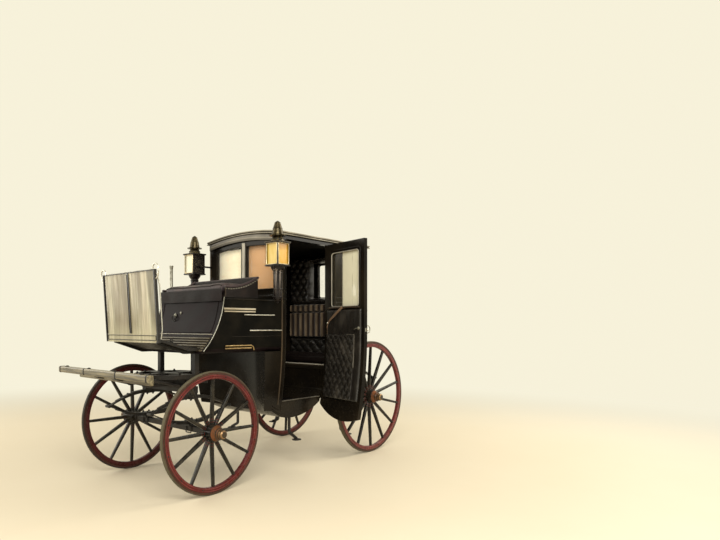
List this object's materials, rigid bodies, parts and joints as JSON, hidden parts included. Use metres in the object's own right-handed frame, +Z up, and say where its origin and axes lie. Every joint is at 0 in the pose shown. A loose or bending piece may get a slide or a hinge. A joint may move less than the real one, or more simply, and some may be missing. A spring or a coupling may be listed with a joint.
{
  "type": "horse drawn carriage",
  "caption": "Closed black town coach with a driver's box, dash, side lamps, hinged doors, elliptic springs, a turning forecarriage and red spoked wheels.",
  "frame": {"origin": "on the ground in the middle of the coach's footprint, measured with its left door open", "axes": "+Z up, the coach faces -Y, its left side is +X"},
  "size_m": [1.9154, 3.452, 2.32],
  "materials": {
    "body_black": "gloss",
    "roof_black": "gloss",
    "black_leather": "satin",
    "purple_leather": "satin",
    "inner_leather": "satin",
    "patent_leather": "gloss",
    "nickel": "polished",
    "brass": "polished",
    "iron": "satin",
    "crimson": "gloss",
    "tyre": "matt",
    "glass": "clear",
    "amber_glass": "clear",
    "tan_blind": "matt",
    "dark_wood": "satin",
    "pale_ash": "satin"
  },
  "bodies": {
    "coach": {"back_panel": "body_black", "body_irons": "iron", "boot": "body_black", "cant_rail": "body_black", "dash_frame": "nickel", "dash_panel": "patent_leather", "driver_cushion": "purple_leather", "driver_seat": "black_leather", "floor_tub": "body_black", "footboard": "iron", "front_blind": "tan_blind", "front_panel": "body_black", "left_front_quarter": "body_black", "left_lamp": "brass", "left_lamp_glass": "amber_glass", "left_rear_quarter": "body_black", "rear_axle": "iron", "rear_cushion": "inner_leather", "rear_seat_base": "dark_wood", "rear_springs": "iron", "rear_squab": "inner_leather", "right_front_quarter": "body_black", "right_lamp": "brass", "right_lamp_glass": "amber_glass", "right_rear_quarter": "body_black", "roof": "roof_black", "steps": "iron", "upper_turntable": "iron", "window_glass": "glass"},
    "left_door_leaf": {"left_door": "body_black", "left_door_glass": "glass", "left_door_handle": "nickel", "left_door_lining": "inner_leather"},
    "right_door_leaf": {"right_door": "body_black", "right_door_glass": "glass", "right_door_handle": "nickel", "right_door_lining": "inner_leather"},
    "forecarriage": {"front_axle": "iron", "front_springs": "iron", "lower_turntable": "iron", "futchells": "iron", "splinter_bar": "pale_ash"},
    "front_left_road_wheel": {"front_left_wheel": "crimson", "front_left_tyre": "tyre"},
    "front_right_road_wheel": {"front_right_wheel": "crimson", "front_right_tyre": "tyre"},
    "rear_left_road_wheel": {"rear_left_wheel": "crimson", "rear_left_tyre": "tyre"},
    "rear_right_road_wheel": {"rear_right_wheel": "crimson", "rear_right_tyre": "tyre"}
  },
  "joints": [
    {"name": "steering", "type": "hinge", "parent": "coach", "child": "forecarriage", "pos_m": [-0.17979, -1.054, 0.93], "axis": [0, 0, 1], "range_deg": [-60, 60]},
    {"name": "left_door_hinge", "type": "hinge", "parent": "coach", "child": "left_door_leaf", "pos_m": [0.36021, 0.521, 1.3], "axis": [0, 0, 1], "range_deg": [-76, 0]},
    {"name": "right_door_hinge", "type": "hinge", "parent": "coach", "child": "right_door_leaf", "pos_m": [-0.71979, 0.521, 1.3], "axis": [0, 0, -1], "range_deg": [0, 76]},
    {"name": "front_left_spin", "type": "hinge", "parent": "forecarriage", "child": "front_left_road_wheel", "pos_m": [0.44021, -1.054, 0.5], "axis": [1, 0, 0], "continuous": true},
    {"name": "front_right_spin", "type": "hinge", "parent": "forecarriage", "child": "front_right_road_wheel", "pos_m": [-0.79979, -1.054, 0.5], "axis": [1, 0, 0], "continuous": true},
    {"name": "rear_left_spin", "type": "hinge", "parent": "coach", "child": "rear_left_road_wheel", "pos_m": [0.46021, 1.126, 0.6], "axis": [1, 0, 0], "continuous": true},
    {"name": "rear_right_spin", "type": "hinge", "parent": "coach", "child": "rear_right_road_wheel", "pos_m": [-0.81979, 1.126, 0.6], "axis": [1, 0, 0], "continuous": true}
  ]
}
